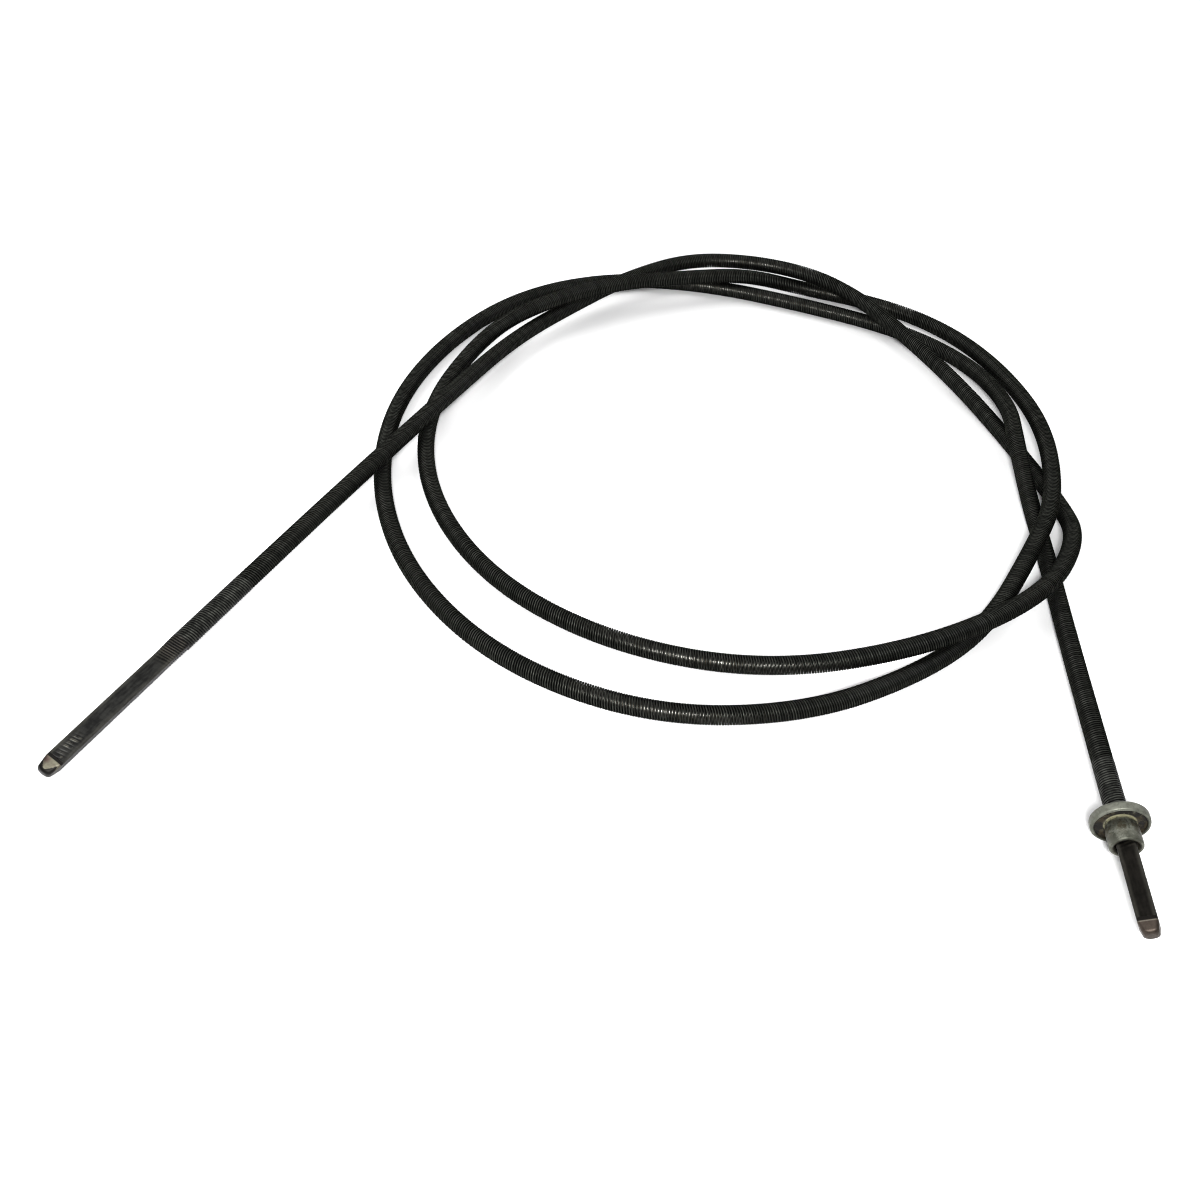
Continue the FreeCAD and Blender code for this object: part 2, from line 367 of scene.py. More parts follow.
@dataclass(frozen=True)
class ZincPlate:
    """Old zinc plate: dull grey-green, pitted, with brown and black dirt where nothing rubs."""

    name: str = "zinc_plate"
    clean: tuple = rgba(0.165, 0.170, 0.140)
    dull: tuple = rgba(0.046, 0.047, 0.034)
    brown: tuple = rgba(0.026, 0.018, 0.006)
    black: tuple = rgba(0.004, 0.003, 0.002)
    # Painted highlight: the thin bright yellow arc where the barrel rises from the recess floor.
    root_highlight: tuple = rgba(0.52, 0.50, 0.32)
    pit_depth: float = 0.05 * MM

    def make(self) -> bpy.types.Material:
        """Makes the material. The mesh carries "dirt", "stain", "root" and "rim". "root" is where a
        thin yellow painted highlight lies.

        Returns:
            The material.
        """
        recipe = Recipe(self.name, {"IOR": 1.5})
        where = recipe.place()
        broad = recipe.noise(where, 0.42, 3.0)
        fine = recipe.noise(where, 1.2, 4.0, 0.6)
        pits = recipe.band(recipe.noise(where, 1.5, 3.0, 0.7), 0.52, 0.60)
        dirt = recipe.surface("dirt")
        rim = recipe.surface("rim")
        # Where the painted yellow highlight lies, round the barrel's root.
        root = recipe.surface("root") * recipe.band(fine, 0.35, 0.55)
        colour = recipe.mix(recipe.band(broad + fine * 0.5, 0.6, 0.9), self.dull, self.clean)
        # Painted highlight: the rims are lightened towards the clean colour, and show fewer pits.
        colour = recipe.mix(rim * 0.4, colour, self.clean)
        colour = recipe.mix(pits * (1 - rim * 0.7) * 0.8, colour, self.dull)
        colour = recipe.mix(dirt * recipe.band(fine, 0.34, 0.48, 0.45, 1.0), colour, self.brown)
        grime = dirt * recipe.band(broad * 0.5 + fine * 0.6, 0.50, 0.58)
        colour = recipe.mix(grime, colour, self.black)
        stain = recipe.surface("stain") * recipe.band(fine, 0.46, 0.58)
        colour = recipe.mix(stain * 0.7, colour, self.brown)
        # Lays on the painted highlight at the barrel's root.
        colour = recipe.mix(root, colour, self.root_highlight)
        return recipe.finish(
            fine * 0.6 + (1 - pits) * 0.4,
            self.pit_depth,
            Base_Color=colour,
            Roughness=0.44 + dirt * 0.3 + fine * 0.16,
            Metallic=0.75 - dirt * 0.5,
        )


@dataclass(frozen=True)
class InnerWire:
    """Bright drawn wire inside the shaft, under a film of oil."""

    name: str = "inner_wire"
    bright: tuple = rgba(0.24, 0.23, 0.21)
    oily: tuple = rgba(0.07, 0.06, 0.045)
    grain_depth: float = 0.02 * MM

    def make(self) -> bpy.types.Material:
        """Makes the material.

        Returns:
            The material.
        """
        recipe = Recipe(self.name, {"IOR": 1.5})
        where = recipe.place()
        film = recipe.band(recipe.noise(where, 0.5, 3.0), 0.4, 0.65)
        grain = recipe.noise(where, 5.0, 2.0)
        colour = recipe.mix(film, self.bright, self.oily)
        return recipe.finish(
            grain,
            self.grain_depth,
            Base_Color=colour,
            Roughness=0.3 + film * 0.25,
            Metallic=0.9,
        )


@dataclass(frozen=True)
class PalePaper:
    """The plain pale floor."""

    name: str = "pale_paper"
    white: tuple = rgba(0.93, 0.93, 0.93)
    fibre_depth: float = 0.002 * MM

    def make(self) -> bpy.types.Material:
        """Makes the material.

        Returns:
            The material.
        """
        recipe = Recipe(self.name, {"Specular IOR Level": 0.0})
        fibre = recipe.noise(recipe.place(), 0.8, 3.0)
        return recipe.finish(fibre, self.fibre_depth, Base_Color=self.white, Roughness=0.95)


# ---------------------------------------------------------------------------------------------
# Meshes
# ---------------------------------------------------------------------------------------------
class Edges(Enum):
    """Whether a surface made of rings ends in a flat cap or runs on round to its first ring."""

    CAPPED = "capped"
    JOINED = "joined"


def ring_faces(rings: int, around: int, edges: Edges) -> list[tuple[int, ...]]:
    """The faces between rings of points.

    Args:
        rings: How many rings there are.
        around: Points in each ring.
        edges: What becomes of the first and last rings.

    Returns:
        The faces, facing outwards where a ring runs anticlockwise seen from the last ring.
    """
    step = np.arange(around)
    following = (step + 1) % around
    last = rings if edges is Edges.JOINED else rings - 1
    row = np.arange(last)[:, None] * around
    ahead = ((np.arange(last)[:, None] + 1) % rings) * around
    quads = np.stack([row + step, row + following, ahead + following, ahead + step], axis=-1)
    faces = [tuple(face) for face in quads.reshape(-1, 4).tolist()]
    if edges is Edges.CAPPED:
        faces.append(tuple(reversed(range(around))))
        faces.append(tuple(range((rings - 1) * around, rings * around)))
    return faces


def mesh_piece(
    name: str,
    points: np.ndarray,
    edges: Edges,
    finish: bpy.types.Material,
    marks: dict[str, np.ndarray],
) -> bpy.types.Object:
    """Makes a piece from rings of points.

    Args:
        name: The piece's name.
        points: Rings x points around x 3, in metres.
        edges: What becomes of the first and last rings.
        finish: The piece's material.
        marks: Values at the points that the material reads, by name.

    Returns:
        The piece.
    """
    rings, around = points.shape[:2]
    mesh = bpy.data.meshes.new(name)
    mesh.from_pydata(points.reshape(-1, 3).tolist(), [], ring_faces(rings, around, edges))
    mesh.polygons.foreach_set("use_smooth", [len(face.vertices) == 4 for face in mesh.polygons])
    for mark, values in marks.items():
        layer = mesh.attributes.new(mark, "FLOAT", "POINT")
        spread = np.broadcast_to(values, (rings, around)).astype(np.float32)
        layer.data.foreach_set("value", spread.ravel())
    mesh.materials.append(finish)
    mesh.update()
    piece = bpy.data.objects.new(name, mesh)
    bpy.context.scene.collection.objects.link(piece)
    return piece


def ring_points(radius: np.ndarray, angle: np.ndarray, along: np.ndarray) -> np.ndarray:
    """Points around the Z axis, from their distances, directions and heights."""
    parts = (radius * np.cos(angle), radius * np.sin(angle), along)
    return np.stack(np.broadcast_arrays(*parts), -1)


def smooth_step(value: np.ndarray, low: float, high: float) -> np.ndarray:
    """0 up to low, 1 from high on, and a smooth rise between them."""
    share = np.clip((value - low) / (high - low), 0.0, 1.0)
    return share * share * (3 - 2 * share)


# ---------------------------------------------------------------------------------------------
# The coiled run
# ---------------------------------------------------------------------------------------------
# The coiled run's route, from the long end to the collar end. Where the run crosses over itself,
# the upper stretch has two raised points, one on each side of the crossing.
ROUTE = [
    (-0.0626, -0.0321, 0.00335), (-0.0558, -0.0176, 0.004), (-0.0486, -0.0033, 0.005),
    (-0.0371, 0.0217, 0.0052), (-0.0276, 0.0447, 0.0033), (-0.0151, 0.0607, 0.0035),
    (-0.0046, 0.07, 0.0051), (0.0084, 0.0797, 0.0052), (0.0229, 0.0805, 0.0057),
    (0.0369, 0.0769, 0.0058), (0.0469, 0.0692, 0.0053), (0.0549, 0.0572, 0.0051),
    (0.0649, 0.0442, 0.0028), (0.0719, 0.0307, 0.0016), (0.0799, 0.0072, 0.0016),
    (0.0784, -0.0063, 0.0052), (0.0694, -0.021, 0.0053), (0.0469, -0.0353, 0.0051),
    (0.0219, -0.04, 0.0016), (-0.0031, -0.0368, 0.0016), (-0.0241, -0.0248, 0.0016),
    (-0.0379, -0.0048, 0.0016), (-0.0421, 0.0187, 0.0017), (-0.0356, 0.0387, 0.0042),
    (-0.0266, 0.0502, 0.0068), (-0.0086, 0.0637, 0.0068), (0.0084, 0.0717, 0.0053),
    (0.0219, 0.0757, 0.0049), (0.0354, 0.0777, 0.0016), (0.0544, 0.0732, 0.0016),
    (0.0679, 0.0642, 0.0016), (0.0759, 0.0467, 0.0036), (0.0797, 0.0262, 0.0052),
    (0.0769, 0.0047, 0.0052), (0.0699, -0.0093, 0.005), (0.0604, -0.0253, 0.0016),
    (0.0474, -0.0373, 0.0016), (0.0279, -0.0478, 0.0016), (0.0039, -0.0508, 0.0016),
    (-0.0196, -0.0428, 0.0016), (-0.0371, -0.0263, 0.0016), (-0.0469, -0.0043, 0.0016),
    (-0.0488, 0.0202, 0.0016), (-0.0421, 0.0437, 0.0016), (-0.0286, 0.0637, 0.0016),
    (-0.0091, 0.0745, 0.0016), (0.0129, 0.0757, 0.0016), (0.0364, 0.0702, 0.0016),
    (0.0569, 0.0632, 0.0016), (0.0699, 0.0522, 0.0017), (0.0739, 0.0337, 0.0051),
    (0.0729, 0.0207, 0.0051), (0.0739, 0.0067, 0.0016), (0.0739, -0.0068, 0.0016),
    (0.0726, -0.0303, 0.0024), (0.0714, -0.0537, 0.00375),
]


@dataclass
class EndFrame:
    """Where an end meets the run, and the end's own axes there: sideways, upright, outward."""

    split: Vector
    inner: Vector
    outward: Vector = field(init=False)
    sideways: Vector = field(init=False)
    upright: Vector = field(init=False)

    def __post_init__(self) -> None:
        """Works out the axes from the route's last two points."""
        self.outward = (self.split - self.inner).normalized()
        self.sideways = Vector((0, 0, 1)).cross(self.outward).normalized()
        self.upright = self.outward.cross(self.sideways)

    def matrix(self, roll: float) -> Matrix:
        """The end's place, turned about its own line.

        Args:
            roll: The turn, in degrees.

        Returns:
            The matrix from the end's own axes to the model's.
        """
        axes = Matrix((self.sideways, self.upright, self.outward)).transposed().to_4x4()
        turn = Matrix.Rotation(math.radians(roll), 4, "Z")
        return Matrix.Translation(self.split) @ axes @ turn


@dataclass
class Centreline:
    """The smooth line of the run, with two directions across it that don't twist along it."""

    points: list[tuple[float, float, float]]
    fineness: int = 64
    bar_fineness: int = 12
    start: EndFrame = field(init=False)
    finish: EndFrame = field(init=False)
    line: np.ndarray = field(init=False)
    along: np.ndarray = field(init=False)
    length: float = field(init=False)
    across: np.ndarray = field(init=False)
    over: np.ndarray = field(init=False)

    def __post_init__(self) -> None:
        """Reads the line from its own curve and carries the directions along it."""
        self.start = EndFrame(Vector(self.points[0]), Vector(self.points[1]))
        self.finish = EndFrame(Vector(self.points[-1]), Vector(self.points[-2]))
        self.line = self._read()
        steps = np.linalg.norm(np.diff(self.line, axis=0), axis=1)
        self.along = np.concatenate([[0.0], np.cumsum(steps)])
        self.length = float(self.along[-1])
        self.across, self.over = self._carry()

    def curve(self, name: str, radius: float) -> bpy.types.Object:
        """A curve along the run.

        Args:
            name: The curve's name.
            radius: The radius of the round bar that it is, or 0 for a bare line.

        Returns:
            The curve object.
        """
        data = bpy.data.curves.new(name, "CURVE")
        data.dimensions = "3D"
        spline = data.splines.new("NURBS")
        spline.points.add(len(self.points) - 1)
        for point, place in zip(spline.points, self.points):
            point.co = (*place, 1.0)
        spline.order_u = 3
        spline.use_endpoint_u = True
        spline.resolution_u = self.fineness if radius == 0 else self.bar_fineness
        data.bevel_depth = radius
        data.bevel_resolution = 3
        data.use_fill_caps = radius > 0
        made = bpy.data.objects.new(name, data)
        bpy.context.scene.collection.objects.link(made)
        return made

    def _read(self) -> np.ndarray:
        """Reads the line from a bare curve that is then taken away.

        Returns:
            The line's points, from the start.
        """
        bare = self.curve("bare_line", 0.0)
        mesh = bpy.data.meshes.new_from_object(bare)
        flat = np.empty(len(mesh.vertices) * 3)
        mesh.vertices.foreach_get("co", flat)
        bpy.data.objects.remove(bare)
        bpy.data.meshes.remove(mesh)
        line = flat.reshape(-1, 3)
        if np.linalg.norm(line[0] - np.array(self.points[0])) > 1e-4:
            line = line[::-1]
        return line

    def _carry(self) -> tuple[np.ndarray, np.ndarray]:
        """Carries the start's sideways and upright directions along the line without twist.

        Returns:
            Both directions at every point of the line.
        """
        ahead = np.diff(self.line, axis=0)
        ahead /= np.linalg.norm(ahead, axis=1)[:, None]
        tangents = np.vstack([ahead[:1], ahead[:-1] + ahead[1:], ahead[-1:]])
        tangents /= np.linalg.norm(tangents, axis=1)[:, None]
        side = np.array(self.start.sideways)
        across = []
        for tangent in tangents:
            side = side - tangent * side.dot(tangent)
            side /= np.linalg.norm(side)
            across.append(side)
        across = np.array(across)
        return across, np.cross(across, tangents)

    def at(self, values: np.ndarray, where: np.ndarray) -> np.ndarray:
        """Reads one of the line's three-part values at distances along it.

        Args:
            values: The line's points or directions.
            where: Distances from the start, in metres.

        Returns:
            The values there.
        """
        return np.stack([np.interp(where, self.along, values[:, axis]) for axis in range(3)], -1)


@dataclass
class Winding:
    """The outer winding: how many wires, how thick they are and how they are laid."""

    wires: int = 4
    wire_radius: float = 0.205 * MM
    shaft_radius: float = 1.60 * MM
    spacing: float = 0.42 * MM

    @property
    def lay_radius(self) -> float:
        """The radius that the wires' own middles lie on."""
        return self.shaft_radius - self.wire_radius

    @property
    def lead(self) -> float:
        """How far one wire goes along the shaft in a turn."""
        return self.wires * self.spacing


@dataclass
class CoiledRun:
    """The run between the ends: four inner layers and the outer winding's wires."""

    line: Centreline
    winding: Winding
    inner_radii: dict[str, float] = field(
        default_factory=lambda: {
            "core_wire": 0.30 * MM,
            "first_winding": 0.55 * MM,
            "second_winding": 0.85 * MM,
            "third_winding": 1.19 * MM,
        }
    )
    steps_per_turn: int = 14
    sides: int = 6
    cut: float = 0.97
    unevenness: float = 0.012 * MM
    unevenness_steps: float = 9.0
    wear: float = 0.65
    wear_change: float = 0.35
    wear_steps: float = 3.0
    body: str = "shaft_run"

    def build_inner(self, finish: bpy.types.Material) -> list[bpy.types.Object]:
        """Makes the layers inside the outer winding.

        Args:
            finish: Their material.

        Returns:
            The layers, from the middle out.
        """
        made = []
        for node, radius in self.inner_radii.items():
            layer = self.line.curve(f"run_{node}", radius)
            layer.data.materials.append(finish)
            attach(layer, self.body)
            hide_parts(node)
            made.append(layer)
        return made

    @staticmethod
    def uneven(count: int, spacing: float, seed: int) -> np.ndarray:
        """A random value that changes smoothly along a wire.

        Args:
            count: How many values are wanted.
            spacing: How many values lie between two that are picked at random.
            seed: Picks the pattern.

        Returns:
            The values, from -1 to 1, as one column.
        """
        picked = np.random.default_rng(seed).uniform(-1, 1, int(count / spacing) + 2)
        return np.interp(np.arange(count) / spacing, np.arange(len(picked)), picked)[:, None]

    def build_wire(self, number: int, finish: bpy.types.Material) -> bpy.types.Object:
        """Makes one wire of the outer winding, cut square where the ends begin.

        Args:
            number: Which wire it is, from 0.
            finish: Its material.

        Returns:
            The wire.
        """
        lay = self.winding
        reach = lay.wire_radius * self.cut
        turns = (self.line.length + 2 * reach) / lay.lead
        count = round(turns * self.steps_per_turn)
        centre = np.linspace(-reach, self.line.length + reach, count)[:, None]
        drift = self.uneven(count, self.unevenness_steps, 2 * number) * self.unevenness
        change = self.uneven(count, self.wear_steps, 2 * number + 1)
        wear = self.wear + self.wear_change * change
        section = np.linspace(0, 2 * math.pi, self.sides, endpoint=False)[None, :]
        out = lay.lay_radius + lay.wire_radius * np.cos(section)
        where = centre + drift + lay.wire_radius * np.sin(section)
        where = np.clip(where, 0, self.line.length)
        turn = number * 2 * math.pi / lay.wires - 2 * math.pi * centre / lay.lead
        turn = turn + np.zeros_like(section)
        across = self.line.at(self.line.across, where) * np.cos(turn)[..., None]
        over = self.line.at(self.line.over, where) * np.sin(turn)[..., None]
        points = self.line.at(self.line.line, where) + out[..., None] * (across + over)
        crown = 0.5 + 0.5 * np.cos(section)
        name = f"run_outer_wire_{number + 1}"
        marks = {"crown": crown, "wear": wear}
        wire = mesh_piece(name, points, Edges.CAPPED, finish, marks)
        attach(wire, self.body)
        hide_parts("outer_winding")
        return wire

    def angle_at_finish(self) -> float:
        """Finds where the first wire is when the run meets the far end.

        Returns:
            Its angle, in that end's own axes.
        """
        turn = -2 * math.pi * self.line.length / self.winding.lead
        out = self.line.across[-1] * math.cos(turn) + self.line.over[-1] * math.sin(turn)
        far = self.line.finish
        return math.atan2(Vector(out).dot(far.upright), Vector(out).dot(far.sideways))


# ---------------------------------------------------------------------------------------------
# The swaged ends
# ---------------------------------------------------------------------------------------------
@dataclass
class SwagedEnd:
    """One end: the winding's ridges run out into the taper, the square and the fused tip.

    The step is how much of the taper is one sudden shoulder on the upper side. The stub is the
    share of the tip that is still square. end_ridges and facets are how much the end has of each,
    from 0 to 1. One more share, also from 0 to 1, is how strong the painted reflection of the floor
    is on one side flat near the tip.
    """

    name: str
    body: str
    frame: EndFrame
    winding: Winding
    roll: float
    first_angle: float
    round_length: float
    taper: float
    square: float
    tip: float
    step: float
    end_ridges: float
    facets: float
    painted_side_reflection: float
    stub: float
    width: float = 2.60 * MM
    corner: float = 0.32 * MM
    press: float = 0.3 * MM
    step_side: float = 25.0
    drawn_out: float = 0.30
    faint_groove: float = 0.008 * MM
    marks_groove: float = 0.05 * MM
    marks_from: float = 4.8 * MM
    marks_full: float = 3.6 * MM
    blunt_width: float = 2.00 * MM
    blunt_corner: float = 2.1
    end_round: float = 0.50 * MM
    dome: float = 0.02 * MM
    tip_rings: int = 48
    tip_crowding: float = 1.6
    cap_rings: int = 12
    gap: float = 0.05 * MM
    ring_gap: float = 0.055 * MM

    @property
    def square_start(self) -> float:
        """Where the square begins."""
        return self.round_length + self.taper

    @property
    def square_end(self) -> float:
        """Where the square ends and the fused tip begins."""
        return self.square_start + self.square

    @staticmethod
    def angles() -> np.ndarray:
        """Sets out a ring's points: a few on each flat and more round each corner.

        Returns:
            Their angles, in radians.
        """
        flat = np.radians(np.linspace(-36, 36, 9))
        bend = np.radians(np.linspace(38.5, 51.5, 6))
        quarter = np.concatenate([flat, bend])
        return np.concatenate([quarter + side * math.pi / 2 for side in range(4)])

    @staticmethod
    def outline(angle: np.ndarray, half: np.ndarray, corner: np.ndarray) -> np.ndarray:
        """The distance from the middle to a rounded square.

        Args:
            angle: The direction looked in.
            half: Half the square's width.
            corner: The radius of its corners.

        Returns:
            The distance.
        """
        near = np.maximum(np.abs(np.cos(angle)), np.abs(np.sin(angle)))
        far = np.minimum(np.abs(np.cos(angle)), np.abs(np.sin(angle)))
        centre = half - corner
        to_flat = half / near
        reach = centre * (near + far)
        to_bend = reach + np.sqrt(np.maximum(reach**2 - 2 * centre**2 + corner**2, 0))
        return np.where(to_flat * far <= centre, to_flat, to_bend)

    def build_winding(self, finish: bpy.types.Material) -> bpy.types.Object:
        """Makes the end's outer winding, from its round ridges to the end of the square.

        Args:
            finish: Its material.

        Returns:
            The piece.
        """
        lay = self.winding
        count = round((self.square_end - self.gap) / self.ring_gap)
        along = np.linspace(self.gap, self.square_end, count)[:, None]
        angle = self.angles()[None, :]
        begun = self.round_length
        pressed = smooth_step(along, begun, begun + self.press)
        taper = np.clip((along - begun) / self.taper, 0, 1)
        unrolled = angle + math.radians(self.roll)
        facing = 0.5 + 0.5 * np.cos(unrolled + math.radians(self.step_side))
        step = self.step * facing
        share = pressed * (step + (1 - step) * taper)
        half = lay.shaft_radius + (self.width / 2 - lay.shaft_radius) * share
        corner = half + (self.corner - half) * share**0.6
        outline = self.outline(angle, half, corner)
        drawn_out = self.drawn_out * np.maximum(along - self.square_start, 0)
        laid = along - drawn_out - lay.lead * (unrolled - self.first_angle) / (2 * math.pi)
        off = np.abs((laid + lay.spacing / 2) % lay.spacing - lay.spacing / 2)
        round_groove = lay.wire_radius - np.sqrt(np.maximum(lay.wire_radius**2 - off**2, 0))
        shallow = smooth_step(off, 0.35 * lay.wire_radius, lay.wire_radius)
        marks_start = self.square_end - self.marks_from
        near_tip = smooth_step(along, marks_start, self.square_end - self.marks_full)
        near_tip = near_tip * self.end_ridges
        upper_flat = smooth_step(np.sin(angle), 0.88, 0.97)
        crushed = smooth_step(along, begun + 0.5 * self.taper, self.square_start + 1.0 * MM)
        depth = self.faint_groove + self.marks_groove * near_tip * upper_flat
        groove = round_groove * (1 - crushed) ** 1.2 + shallow * (crushed * depth)
        points = ring_points(outline - groove, angle, along)
        crown = 1 - smooth_step(off, 0.2 * lay.wire_radius, lay.wire_radius)
        edge = smooth_step(np.abs(np.sin(2 * angle)), 0.90, 0.99) * taper
        tinted_to = self.square_start - 0.6 * MM
        tint = smooth_step(along, begun - self.press, begun + 0.4 * MM)
        tint = tint * (1 - smooth_step(along, tinted_to, tinted_to + 2.2 * MM))
        # The mask for the painted reflection of the floor: one side flat over the last millimetres
        # of the square.
        side = smooth_step(along, self.square_end - 6 * MM, self.square_end - 1 * MM)
        side = side * smooth_step(np.cos(angle), 0.76, 0.84) * self.painted_side_reflection
        marks = {
            "crown": crown,
            "edge": edge,
            "side": side,
            "tint": tint,
            "marks": near_tip * upper_flat,
            "round": 1 - smooth_step(along, begun - self.press, begun + self.press),
        }
        replaced = f"{self.name}_outer_winding"
        return self._place("end_winding", points, finish, marks, replaced)

    def build_tip(self, finish: bpy.types.Material) -> bpy.types.Object:
        """Makes the fused tip: a stub of the square, four ground facets and a blunt face.

        Args:
            finish: Its material.

        Returns:
            The piece.
        """
        angle = self.angles()[None, :]
        share = 1 - np.linspace(1, 0, self.tip_rings)[:, None] ** self.tip_crowding
        along = self.square_end + self.tip * share
        narrow = np.clip((share - self.stub) / (1 - self.stub), 0, 1)
        left = np.clip(1 - self.tip * (1 - share) / self.end_round, 0, 1)
        half = self.width / 2 + (self.blunt_width - self.width) / 2 * narrow
        half = half - self.end_round * (1 - np.sqrt(1 - left**2 * 0.98))
        corner = self.corner * (1 + (self.blunt_corner - 1) * narrow)
        radius = self.outline(angle, half, corner)
        inward = np.linspace(0, 1, self.cap_rings)[1:, None]
        end_along = self.square_end + self.tip + self.dome * inward
        radius = np.vstack([radius, radius[-1:] * (1 - inward * 0.99)])
        along = np.vstack([along, end_along])
        share = np.vstack([share, np.ones_like(inward)])
        begun = smooth_step(share, self.stub - 0.06, self.stub)
        off_middle = np.abs((angle - 0.12 + math.pi / 4) % (math.pi / 2) - math.pi / 4)
        ended = smooth_step(share + 0.50 * (off_middle / (math.pi / 4)) ** 2, 0.80, 0.88)
        ground = begun * (1 - ended) * (0.30 + 0.70 * np.maximum(np.sin(angle), 0) ** 4)
        across = np.cos(angle) * self.width / 2
        warm = np.exp(-(((across + 0.75 * MM) / (0.5 * MM)) ** 2) - ((share - 0.40) / 0.20) ** 2)
        marks = {
            "facet": ground * self.facets + begun * (1 - self.facets),
            "warm": warm * self.facets,
            "end": smooth_step(share, 0.82, 0.92) * self.facets,
            "line": np.exp(-(((share - self.stub) / 0.035) ** 2)) * (1 - self.facets),
        }
        points = ring_points(radius, angle, along)
        replaced = f"{self.name}_fused_tip"
        return self._place("end_tip", points, finish, marks, replaced)

    def _place(
        self,
        part: str,
        points: np.ndarray,
        finish: bpy.types.Material,
        marks: dict[str, np.ndarray],
        node: str,
    ) -> bpy.types.Object:
        """Args:
            part: What the piece is, for its name.
            points: Its rings of points, in the end's own axes.
            finish: Its material.
            marks: Values at the points that the material reads.
            node: The CAD node that it stands for.

        Returns:
            The piece.
        """
        piece = mesh_piece(f"{self.name}_{part}", points, Edges.CAPPED, finish, marks)
        piece.matrix_world = self.frame.matrix(self.roll)
        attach(piece, self.body)
        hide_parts(node)
        return piece


# ---------------------------------------------------------------------------------------------
# The retaining collar
# ---------------------------------------------------------------------------------------------
@dataclass
class Turning:
    """One corner of a turned profile: its radius, its height, its rounding and its marks."""

    radius: float
    height: float
    rounding: float = 0.0
    marks: dict[str, float] = field(default_factory=dict)


@dataclass
class RetainingCollar:
    """The flange and barrel, turned in one piece and pressed on the shaft before the square."""

    frame: EndFrame
    roll: float
    place: float = 10.0 * MM
    bore: float = 1.605 * MM
    flange_radius: float = 4.05 * MM
    flange_thickness: float = 1.50 * MM
    flange_edge: float = 0.42 * MM
    recess_radius: float = 3.55 * MM
    recess_depth: float = 0.45 * MM
    root_radius: float = 2.05 * MM
    barrel_radius: float = 2.30 * MM
    barrel_length: float = 3.60 * MM
    flare: float = 1.50 * MM
    mouth_radius: float = 1.72 * MM
    mouth_depth: float = 2.40 * MM
    knocks: float = 0.02 * MM
    around: int = 128
    body: str = "collar_end"

    def profile(self) -> list[Turning]:
        """Sets out the turned profile.

        Returns:
            Its corners, anticlockwise from the bore's back end.
        """
        back = self.place
        face = back + self.flange_thickness
        floor = face - self.recess_depth
        end = face + self.barrel_length
        mouth = end - self.mouth_depth
        # "rim" marks the turned edges that carry the painted highlight.
        rim = {"rim": 1.0}
        inside = {"dirt": 1.0}
        return [
            Turning(self.bore, back, 0.08 * MM, {"dirt": 0.8}),
            Turning(self.flange_radius, back, self.flange_edge, rim),
            Turning(self.flange_radius, face, self.flange_edge, rim),
            Turning(self.recess_radius, face, 0.14 * MM, {"rim": 0.6}),
            Turning(self.recess_radius, floor, 0.16 * MM, inside),
            Turning(self.root_radius + 0.30 * MM, floor, 0.0, inside),
            # Round the barrel's root: the mark for the painted yellow highlight, with grime at its
            # foot.
            Turning(self.root_radius, floor, 0.08 * MM, {"dirt": 0.8, "root": 0.5}),
            Turning(self.root_radius + 0.04 * MM, floor + 0.24 * MM, 0.0, {"root": 1.0}),
            Turning(self.root_radius + 0.07 * MM, floor + 0.42 * MM, 0.0, {"root": 0.2}),
            Turning(self.root_radius + 0.12 * MM, floor + 0.72 * MM, 0.0, {"stain": 0.5}),
            Turning(self.barrel_radius, floor + self.flare, 0.3 * MM, {"stain": 1.0}),
            Turning(self.barrel_radius, floor + 2.6 * MM, 0.0, {"stain": 0.7}),
            Turning(self.barrel_radius, end, 0.30 * MM, {"rim": 0.5}),
            Turning(self.mouth_radius, end, 0.16 * MM, {"dirt": 0.5}),
            Turning(self.mouth_radius, mouth, 0.0, inside),
            Turning(self.bore, mouth, 0.0, inside),
        ]

    @staticmethod
    def rounded(corners: list[Turning], steps: int = 7) -> tuple[np.ndarray, dict[str, np.ndarray]]:
        """Rounds a profile's corners.

        Args:
            corners: The profile's corners.
            steps: How many points each rounded corner gets.

        Returns:
            The profile's points, radius and height, and their marks by name.
        """
        names = ("dirt", "stain", "root", "rim")
        points: list[np.ndarray] = []
        marks: dict[str, list[float]] = {name: [] for name in names}
        for number, corner in enumerate(corners):
            here = np.array([corner.radius, corner.height])
            before = corners[number - 1]
            after = corners[(number + 1) % len(corners)]
            back = np.array([before.radius, before.height]) - here
            ahead = np.array([after.radius, after.height]) - here
            back /= np.linalg.norm(back)
            ahead /= np.linalg.norm(ahead)
            shares = np.linspace(0, 1, steps) if corner.rounding else np.array([0.5])
            for share in shares:
                towards_back = back * corner.rounding * (1 - share) ** 2
                towards_ahead = ahead * corner.rounding * share**2
                points.append(here + towards_back + towards_ahead)
                for name in names:
                    marks[name].append(corner.marks.get(name, 0.0))
        return np.array(points), {name: np.array(values) for name, values in marks.items()}

    def build(self, finish: bpy.types.Material) -> bpy.types.Object:
        """Makes the collar.

        Args:
            finish: Its material.

        Returns:
            The piece.
        """
        profile, marks = self.rounded(self.profile())
        turn = np.linspace(0, 2 * math.pi, self.around, endpoint=False)[:, None]
        radius = profile[None, :, 0]
        height = profile[None, :, 1]
        knocks = self.knocks * (np.sin(3 * turn + 1.0) * np.sin(5 * turn + 0.4))
        outer = smooth_step(radius, self.barrel_radius * 1.2, self.flange_radius)
        radius = radius + knocks * outer
        height = height + knocks * outer * 0.8
        points = ring_points(radius, turn, height)
        spread = {name: values[None, :] for name, values in marks.items()}
        piece = mesh_piece("collar_body", points, Edges.JOINED, finish, spread)
        piece.matrix_world = self.frame.matrix(self.roll)
        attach(piece, self.body)
        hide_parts("retaining_collar")
        return piece


